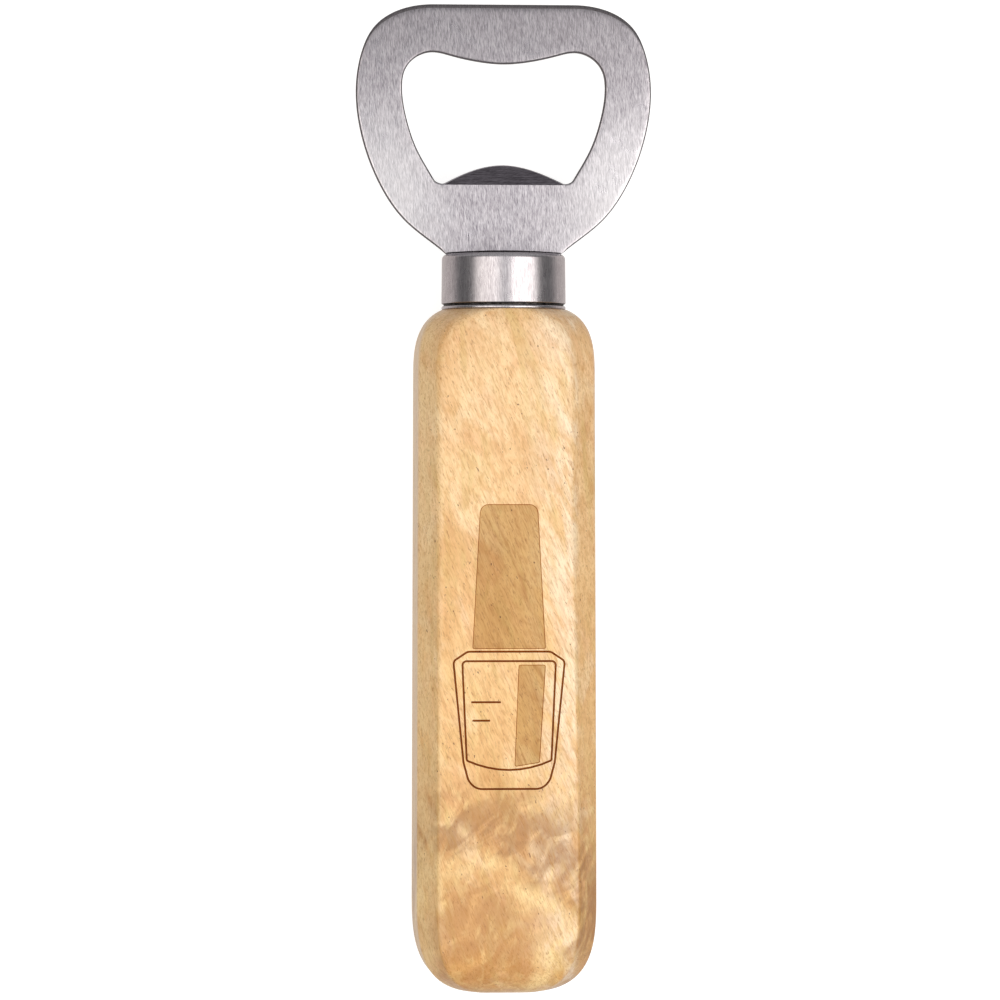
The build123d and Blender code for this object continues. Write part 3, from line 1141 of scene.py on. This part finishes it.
@dataclass
class Engraving:
    """A plain varnish bottle, drawn by laser into the front of the handle.

    The cap and a band of shine are shallow toasted areas. The glass is drawn in thin dark
    lines, with two short rules for a label.
    """

    line: float = 0.34
    line_depth: float = 0.14
    area_depth: float = 0.1
    line_wall: float = 0.07
    area_wall: float = 0.13
    cap_top: float = -1.0
    cap_foot: float = -25.35
    cap_half_top: float = 4.87
    cap_half_foot: float = 6.2
    shoulder_y: float = -25.8
    shoulder_half: float = 7.0
    widest_y: float = -27.4
    widest_half: float = 9.4
    waist_y: float = -44.4
    waist_half: float = 7.7
    heel_y: float = -47.4
    heel_half: float = 6.9
    foot_y: float = -48.9
    glass_top: float = -27.4
    glass_half: float = 7.9
    glass_foot: float = -44.1
    glass_foot_half: float = 7.15
    glass_sag: float = 1.6
    shine: tuple[Point, ...] = ((1.6, -28.0), (6.2, -28.0), (5.2, -44.5), (0.9, -45.2))
    # The start, end and height of each rule.
    rules: tuple[tuple[float, float, float], ...] = ((-6.4, -1.4, -34.3), (-6.2, -3.2, -37.4))
    sample: float = 0.6

    def areas(self) -> list[np.ndarray]:
        """The toasted areas, anticlockwise."""
        top, foot = self.cap_half_top, self.cap_half_foot
        right = [(foot, self.cap_foot, 0.3), (top, self.cap_top, 1.5)]
        left = [(-x, y, radius) for x, y, radius in reversed(right)]
        cap = rounded_loop([left[-1], *right, left[0]], self.sample)
        shine = rounded_loop([(x, y, 0.35) for x, y in reversed(self.shine)], self.sample)
        return [cap, shine]

    def strokes(self) -> list[tuple[np.ndarray, ...]]:
        """The edges of each dark line, the drawn line to the left of every one."""
        right = [
            (self.heel_half - 1.2, self.foot_y, 2.4),
            (self.heel_half, self.heel_y, 2.4),
            (self.waist_half, self.waist_y, 0.9),
            (self.widest_half, self.widest_y, 0.9),
            (self.shoulder_half, self.shoulder_y, 1.3),
        ]
        left = [(-x, y, radius) for x, y, radius in reversed(right)]
        half = self.glass_foot_half
        sag = [
            (x, self.glass_foot - self.glass_sag * (1 - (x / half) ** 2), 0.4)
            for x in np.linspace(-half, half, 9)
        ]
        rim = [(side * self.glass_half, self.glass_top, 0.7) for side in (1, -1)]
        paths = [rounded_loop(path, self.sample) for path in ([left[-1], *right, *left[:-1]], [*sag, *rim])]
        reach = self.line / 2
        drawn = [(offset_loop(path, -reach), offset_loop(path, reach)[::-1]) for path in paths]
        for start, end, y in self.rules:
            ends = ((start, y - reach), (end, y - reach), (end, y + reach), (start, y + reach))
            drawn.append((rounded_loop([(x, high, 0.1) for x, high in ends], self.sample),))
        return drawn


@dataclass
class Handle:
    """The bar of wood: eight-sided, rounded over at both ends, bored and turned for the cup."""

    butt_y: float
    shoulder_y: float
    spigot_top_y: float
    axis_z: float
    half_width_at_shoulder: float = 15.0
    half_width_at_butt: float = 15.3
    crown: float = 0.15
    facet_depth: float = 5.0
    back_facet: float = 3.6
    front_left_facet: float = 3.35
    front_right_facets: tuple[float, float] = (4.5, 3.4)
    softness: tuple[float, float] = (2.4, 1.1)
    seat_radius: float = 10.63
    seat_facet: float = 6.2
    seat_softness: float = 7.0
    shoulder_length: float = 11.2
    shoulder_lead: float = 0.8
    shoulder_power: float = 2.9
    butt_length: float = 18.0
    butt_power: float = 3.4
    butt_root: float = 3.2
    spigot_radius: float = 9.73
    bore_radius: float = 5.0
    bore_floor_y: float = 2.0
    drill_point: float = 3.0
    panel_half_width: float = 9.85
    panel_top: float = 0.5
    panel_foot: float = -50.5
    # The panel stays clear of the corners' arcs, and an arc leaves room for the next.
    panel_share: float = 0.985
    arc_share: float = 0.48
    panel_grid: float = 0.9
    panel_clearance: float = 0.3
    columns: int = 41
    engraving: Engraving = field(default_factory=Engraving)

    def crowned(self, points: np.ndarray, half_width: np.ndarray | float) -> np.ndarray:
        """Sink the front half of a section a little towards its sides.

        Args:
            points: x and height above the axis.
            half_width: the section's half width.

        Returns:
            The height above the axis of each point.
        """
        x, z = points[:, 0], points[:, 1]
        return z - self.crown * (x / half_width) ** 2 * np.clip(z, 0, None) / self.axis_z

    def ring(self, y: float, scale: float, seat: float) -> np.ndarray:
        """One section of the bar, anticlockwise seen from the butt's far side.

        Args:
            y: the station.
            scale: share of the full size, for the butt.
            seat: 0 where the bar is full, 1 at its round seat under the ferrule.

        Returns:
            The section's points in space.
        """
        down = (self.shoulder_y - y) / (self.shoulder_y - self.butt_y)
        full_width = self.half_width(y)
        half_width = (full_width + (self.seat_radius - full_width) * seat) * scale
        half_depth = (self.axis_z + (self.seat_radius - self.axis_z) * seat) * scale
        upper, lower = self.front_right_facets
        right = upper + (lower - upper) * float(smooth_step(0.2, 0.9, down))
        widths = [
            (w + (self.seat_facet - w) * seat) * scale
            for w in (right, self.front_left_facet, self.back_facet, self.back_facet)
        ]
        depth = (self.facet_depth + (self.seat_facet - self.facet_depth) * seat) * scale
        full, least = self.softness
        soft = full + (least - full) * float(smooth_step(0.05, 0.6, down))
        soft = (soft + (self.seat_softness - soft) * seat) * scale
        flat = half_depth - depth
        corners = [
            (half_width, flat),
            (half_width - widths[0], half_depth),
            (widths[1] - half_width, half_depth),
            (-half_width, flat),
            (-half_width, -flat),
            (widths[2] - half_width, -half_depth),
            (half_width - widths[3], -half_depth),
            (half_width, -flat),
        ]
        spots = np.array(corners)
        arcs = []
        for i, corner in enumerate(spots):
            into, out = corner - spots[i - 1], spots[(i + 1) % 8] - corner
            turn = math.acos(float(into @ out) / np.linalg.norm(into) / np.linalg.norm(out))
            room = min(np.linalg.norm(into), np.linalg.norm(out)) / math.tan(turn / 2) * self.arc_share
            arcs.append(corner_arc(corner, into, out, min(soft, room), ARC_STEPS))
        edges = (arcs[1][-1][0], -arcs[2][0][0])
        reach = min(self.panel_half_width, min(edges) * self.panel_share)
        front = np.linspace(reach, -reach, self.columns)
        runs = [2, 0, 2, 8, 2, 12, 2, 8]
        pieces = []
        for i, arc in enumerate(arcs):
            pieces.append(arc)
            if i == 1:
                pieces.append(np.stack((front, np.full(self.columns, half_depth)), axis=1))
            else:
                shares = np.arange(1, runs[i] + 1)[:, None] / (runs[i] + 1)
                pieces.append(arc[-1] + (arcs[(i + 1) % 8][0] - arc[-1]) * shares)
        points = np.concatenate(pieces)
        height = self.crowned(points, half_width)
        return np.stack((points[:, 0], np.full(len(points), y), self.axis_z + height), axis=1)

    def half_width(self, y: np.ndarray | float) -> np.ndarray | float:
        """Find the bar's half width before its ends are rounded over.

        Args:
            y: one station or several.

        Returns:
            The half width at each.
        """
        down = (self.shoulder_y - y) / (self.shoulder_y - self.butt_y)
        wider = self.half_width_at_butt - self.half_width_at_shoulder
        return self.half_width_at_shoulder + wider * down

    def stations(self) -> list[tuple[float, float, float]]:
        """Every section's place, scale and roundness, from the shoulder to the butt."""
        stations = []
        curve = self.shoulder_length + self.shoulder_lead
        power = self.shoulder_power
        least = (1 - (self.shoulder_length / curve) ** power) ** (1 / power)
        for down in self.shoulder_length * np.linspace(0, 1, 19) ** 1.8:
            here = (1 - ((self.shoulder_length - down) / curve) ** power) ** (1 / power)
            seat = 1 - (here - least) / (1 - least)
            stations.append((self.shoulder_y - down, 1.0, seat))
        body_top = self.shoulder_y - self.shoulder_length
        body_foot = self.butt_y + self.butt_length
        for top, foot, count in (
            (body_top, self.panel_top, 13),
            (self.panel_top, self.panel_foot, 33),
            (self.panel_foot, body_foot, 10),
        ):
            stations += [(y, 1.0, 0.0) for y in np.linspace(top, foot, count)[1:]]
        for up in self.butt_length * np.linspace(1, 0.02, 30)[1:] ** 2.2:
            inward = (self.butt_length - up) / self.butt_length
            scale = (1 - inward**self.butt_power) ** (1 / self.butt_root)
            stations.append((self.butt_y + up, scale, 0.0))
        return stations

    def make(self, wood: Wood, toasted: Wood, scorched: Wood, charred: Wood) -> bpy.types.Object:
        """Build the handle.

        Args:
            wood: finish of the lacquered wood.
            toasted: finish of the lasered areas.
            scorched: finish of the walls round those areas.
            charred: finish of the lasered lines.

        Returns:
            The handle.
        """
        shell = Shell()
        stations = self.stations()
        rings = [shell.add_points(self.ring(*station)) for station in stations]
        first = 2 * (ARC_STEPS + 1) + 2
        ys = np.array([y for y, _, _ in stations])
        top, foot = (int(np.argmin(abs(ys - end))) for end in (self.panel_top, self.panel_foot))
        shell.join(rings[: top + 1])
        # Beside the panel the sections are joined from its left edge round to its right one.
        last = first + self.columns - 1
        for upper, lower in zip(rings[top:foot], rings[top + 1 : foot + 1]):
            above, below = (ring[last:] + ring[: first + 1] for ring in (upper, lower))
            shell.add_faces(list(zip(above[:-1], below[:-1], below[1:], above[1:])))
        shell.join(rings[foot:])
        self.add_panel(shell, rings[top : foot + 1], first)
        self.add_ends(shell, rings)
        finishes = [f.material() for f in (wood, toasted, scorched, charred)]
        handle = shell.make("wooden_handle", finishes, 35.0)
        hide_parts("handle")
        return handle

    def add_ends(self, shell: Shell, rings: list[list[int]]) -> None:
        """Close the butt, and add the seat, the spigot and the drilled bore.

        Args:
            shell: the handle's skin.
            rings: its sections, from the shoulder to the butt.
        """
        shell.fan(rings[-1], (0, self.butt_y, self.axis_z))
        section = np.array([shell.vertices[i] for i in rings[0]])
        arms = section[:, (0, 2)] - (0, self.axis_z)
        arms /= np.linalg.norm(arms, axis=1)[:, None]
        turned = [rings[0]]
        for radius, y in (
            (self.spigot_radius, self.shoulder_y),
            (self.spigot_radius, self.spigot_top_y),
            (self.bore_radius, self.spigot_top_y),
            (self.bore_radius, self.bore_floor_y),
        ):
            x, z = arms[:, 0] * radius, arms[:, 1] * radius + self.axis_z
            turned.append(shell.add_points(np.stack((x, np.full(len(x), y), z), axis=1)))
        shell.join(turned)
        shell.fan(turned[-1], (0, self.bore_floor_y - self.drill_point, self.axis_z))

    def add_panel(self, shell: Shell, rings: list[list[int]], first: int) -> None:
        """Fill the front panel with the engraving.

        Args:
            shell: the handle's skin.
            rings: the sections that cross the panel.
            first: place in each section of the panel's right edge.
        """
        last = first + self.columns - 1
        border = rings[0][first : last + 1]
        border += [ring[last] for ring in rings[1:-1]]
        border += rings[-1][first : last + 1][::-1]
        border += [ring[first] for ring in rings[1:-1]][::-1]
        edge = np.array([shell.vertices[i][:2] for i in border])
        drawing = self.engraving
        figures = [((loop,), 1, drawing.area_depth, drawing.area_wall) for loop in drawing.areas()]
        figures += [(loops, 3, drawing.line_depth, drawing.line_wall) for loops in drawing.strokes()]
        points, depths, chains = [edge], [np.zeros(len(edge))], [[*range(len(edge)), 0]]
        count = len(edge)
        for loops, _, depth, wall in figures:
            for loop in loops:
                for ring, sunk in ((loop, 0.0), (offset_loop(loop, wall), depth)):
                    points.append(ring)
                    depths.append(np.full(len(ring), sunk))
                    chains.append([*range(count, count + len(ring)), count])
                    count += len(ring)
        fixed = np.concatenate(points)
        grid = hex_grid(tuple(edge.min(axis=0)), tuple(edge.max(axis=0)), self.panel_grid)
        grid = clear_of(grid[inside(grid, edge)], fixed, self.panel_clearance)
        sunk = np.zeros(len(grid))
        for loops, _, depth, _ in figures:
            sunk += depth * (sum(inside(grid, loop).astype(int) for loop in loops) % 2)
        everything = np.concatenate((fixed, grid))
        depth_at = np.concatenate((*depths, sunk))
        half_width = self.half_width(everything[:, 1])
        front = np.stack((everything[:, 0], np.full(len(everything), self.axis_z)), axis=1)
        height = self.axis_z + self.crowned(front, half_width) - depth_at
        triangles = triangulate(everything, chains, lambda c: inside(c, edge))
        added = shell.add_points(np.column_stack((everything, height))[len(edge) :])
        numbers = np.array(border + added)
        centres = everything[triangles].mean(axis=1)
        finish = np.zeros(len(triangles), int)
        for loops, number, _, wall in figures:
            within = sum(inside(centres, loop).astype(int) for loop in loops) % 2 == 1
            finish[within] = number
            if number == 1:
                finish[within & ~inside(centres, offset_loop(loops[0], wall * 0.98))] = 2
        for number in range(4):
            shell.add_faces(numbers[triangles[finish == number]], number)


# ---------------------------------------------------------------- the studio

# Each softbox: name, azimuth and slant in degrees, size in metres, power in watts, tint.
SOFTBOXES = (
    ("key_softbox", -14, 35, (0.72, 0.8), 4.0, "fffaf4"),
    ("fill_softbox", 200, 36, (0.7, 1.1), 3.35, "fff8f0"),
)


@dataclass
class Studio:
    """A pale table, two softboxes and a camera over the opener."""

    # The camera stands this far off, leaning a little to the opener's left.
    distance: float = 0.95
    lean: float = math.radians(4.5)
    seen_width: float = 0.1703
    target: tuple[float, float, float] = (-0.0006, -0.0003, 0.012)
    light_distance: float = 0.8
    # The room's tones from straight below, as places from 0 to 1 and linear colours.
    tones: tuple[tuple[float, Colour], ...] = (
        (0.0, linear("e8e0db")),
        (0.3, linear("dfd7d3")),
        (0.42, grey(0.24)),
        (0.5, grey(0.16)),
        (0.68, grey(0.16)),
        (0.92, grey(0.45)),
        (1.0, grey(0.9)),
    )

    def camera(self) -> bpy.types.Object:
        """Make the scene's camera."""
        data = bpy.data.cameras.new("camera")
        data.lens = data.sensor_width / 2 / (self.seen_width / 2 / self.distance)
        data.clip_start = 0.05
        camera = bpy.data.objects.new("camera", data)
        right = Vector((math.cos(self.lean), 0, math.sin(self.lean)))
        back = Vector((-math.sin(self.lean), 0, math.cos(self.lean)))
        turn = Matrix((right, (0, 1, 0), back)).transposed()
        place = Vector(self.target) + back * self.distance
        camera.matrix_world = Matrix.Translation(place) @ turn.to_4x4()
        bpy.context.scene.collection.objects.link(camera)
        bpy.context.scene.camera = camera
        return camera

    def softbox(
        self, name: str, azimuth: float, slant: float, size: Point, power: float, tint: str
    ) -> bpy.types.Object:
        """Hang one softbox that faces the opener.

        Args:
            name: the light's name.
            azimuth: its direction round the opener in degrees, 0 at +X, 90 at +Y.
            slant: its angle from straight above in degrees.
            size: its width and length in metres.
            power: its power in watts.
            tint: its sRGB colour.

        Returns:
            The light.
        """
        data = bpy.data.lights.new(name, "AREA")
        data.shape = "RECTANGLE"
        data.size, data.size_y = size
        data.energy = power
        data.color = linear(tint)[:3]
        light = bpy.data.objects.new(name, data)
        lean, around = math.radians(slant), math.radians(azimuth)
        level = Vector((math.cos(around), math.sin(around), 0)) * math.sin(lean)
        out = level + Vector((0, 0, math.cos(lean)))
        across = Vector((0, 1, 0)).cross(out).normalized()
        turn = Matrix((across, out.cross(across), out)).transposed()
        light.matrix_world = Matrix.Translation(out * self.light_distance) @ turn.to_4x4()
        bpy.context.scene.collection.objects.link(light)
        return light

    def table(self) -> bpy.types.Object:
        """Make the pale table top, matt painted board with a barely uneven tone."""
        material, shader, place = new_finish("matt_white_board")
        tree = material.node_tree
        mottle = add_node(tree, "ShaderNodeTexNoise", {"Scale": 30.0}, {0: place})
        stops = {"stops": ((0.3, linear("b4b4b4")), (0.7, linear("bcbcbc")))}
        colour = add_node(tree, "ShaderNodeValToRGB", stops, {0: mottle.outputs[0]})
        tree.links.new(colour.outputs[0], shader.inputs["Base Color"])
        shader.inputs["Roughness"].default_value = 0.9
        shader.inputs["Specular IOR Level"].default_value = 0.1
        shader.inputs["Emission Color"].default_value = linear("ffffff")
        shader.inputs["Emission Strength"].default_value = 0.75
        build = bmesh.new()
        bmesh.ops.create_grid(build, x_segments=8, y_segments=8, size=4.0)
        mesh = bpy.data.meshes.new("table_top")
        build.to_mesh(mesh)
        build.free()
        mesh.materials.append(material)
        table = bpy.data.objects.new("table_top", mesh)
        table.location.z = -0.0002
        # The room's own lower half stands for the table's glow, so it stays out of the gloss.
        table.visible_diffuse = False
        table.visible_glossy = False
        bpy.context.scene.collection.objects.link(table)
        return table

    def room(self) -> None:
        """Surround the table with a dim room, paler overhead, as a studio's walls are."""
        world = bpy.data.worlds.new("studio_room")
        world.use_nodes = True
        tree = world.node_tree
        tree.nodes.clear()
        direction = add_node(tree, "ShaderNodeTexCoord").outputs["Generated"]
        parts = add_node(tree, "ShaderNodeSeparateXYZ", links={0: direction}).outputs
        rise = add_node(tree, "ShaderNodeMapRange", {"From Min": -1.0}, {"Value": parts["Z"]})
        tones = {"stops": self.tones}
        tone = add_node(tree, "ShaderNodeValToRGB", tones, {0: rise.outputs[0]}).outputs[0]
        # Pale walls stand beyond both ends of the opener, dark ones along its sides.
        along = add_node(tree, "ShaderNodeMath", {"operation": "ABSOLUTE"}, {0: parts["Y"]})
        limits = {**EASED, "From Min": 0.35, "From Max": 0.8, "To Max": 0.8}
        wall = add_node(tree, "ShaderNodeMapRange", limits, {"Value": along.outputs[0]})
        seen = add_node(tree, "ShaderNodeLightPath").outputs["Is Camera Ray"]
        for share, colour in ((wall.outputs[0], grey(0.58)), (seen, grey(1.0))):
            over = {"data_type": "RGBA", MIX_SECOND: colour}
            mixed = add_node(tree, "ShaderNodeMix", over, {MIX_FACTOR: share, MIX_FIRST: tone})
            tone = mixed.outputs[MIX_RESULT]
        light = add_node(tree, "ShaderNodeBackground", links={0: tone})
        add_node(tree, "ShaderNodeOutputWorld", links={0: light.outputs[0]})
        bpy.context.scene.world = world

    def make(self) -> None:
        """Set up the whole studio."""
        self.camera()
        self.table()
        self.room()
        for softbox in SOFTBOXES:
            self.softbox(*softbox)
        bpy.context.scene.view_settings.view_transform = "Standard"


# ---------------------------------------------------------------- finishes in use

# The plate carries a painted shade at its far end and a painted highlight low on its arms.
BRUSHED_PLATE = Steel("belt_brushed_stainless", "cdc9ce", "807b83", 0.33, far_end_shade=0.42, arm_highlight=0.29)
SHEARED_EDGE = Steel("sheared_stainless_edge", "7c787b", "545053", 0.5, scratch_length=0.6)
# The lip is painted a darker steel than the plate: a painted shade on the bent-back lip, with scratches
# across it.
SHADED_LIP_FACE = Steel(
    "rubbed_stainless_lip_painted_shade", "8a848c", "444046", 0.38, Brushing.ACROSS_HANDLE, scratch_length=4.0
)
# The tang's near-black steel also paints the shadow line between head and ferrule.
TANG_AND_SHADOW_LINE = Steel("mill_scaled_tang_and_painted_shadow_line", "3a3638", "1c191b", 0.62)
DRAWN_CUP = Steel(
    "drawn_stainless",
    "cdc9cc",
    "9c969b",
    0.28,
    scratch_length=2.2,
    scratch_depth=0.14,
    smudge=0.03,
    dulling=0.0,
    wave_depth=0.012,
)
# Near-black steel painted into the ferrule's groove as its shade.
SHADED_GROOVE = Steel("groove_painted_shade_steel", "54504e", "121010", 0.5, scratch_width=0.9)
LACQUERED = Wood("lacquered_hardwood")
TOASTED = Wood("laser_toasted_hardwood", "d6caad", roughness=0.5, coat=0.0)
SCORCHED = Wood("laser_scorched_edge", "b08a5c", roughness=0.6, coat=0.0, specular=0.2)
CHARRED = Wood("laser_charred_line", "8a5826", roughness=0.7, coat=0.0, specular=0.15)


def main() -> None:
    """Build the opener and its studio."""
    logging.basicConfig(level=logging.INFO, format="%(message)s")
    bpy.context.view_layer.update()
    head_low, head_high = (np.array(corner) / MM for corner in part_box("opener_head"))
    cup_low, cup_high = (np.array(corner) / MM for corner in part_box("ferrule"))
    bar_low, bar_high = (np.array(corner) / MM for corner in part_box("handle"))
    axis_z = (cup_low[2] + cup_high[2]) / 2
    head = OpenerHead(head_high[1], head_high[2], head_low[1], cup_high[1])
    ferrule = Ferrule(cup_high[1], round(cup_low[1], 2), axis_z)
    handle = Handle(bar_low[1], ferrule.foot_y, bar_high[1], axis_z)
    pieces = [
        head.make(BRUSHED_PLATE, SHEARED_EDGE, SHADED_LIP_FACE, TANG_AND_SHADOW_LINE),
        ferrule.make(DRAWN_CUP, SHADED_GROOVE),
        handle.make(LACQUERED, TOASTED, SCORCHED, CHARRED),
    ]
    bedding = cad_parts["epoxy_bedding"]
    bedding.data.materials.clear()
    bedding.data.materials.append(Resin().material())
    for piece in [*pieces, bedding]:
        log.info("%s: %d faces", piece.name, len(piece.data.polygons))
    Studio().make()


if __name__ == "__main__":
    main()
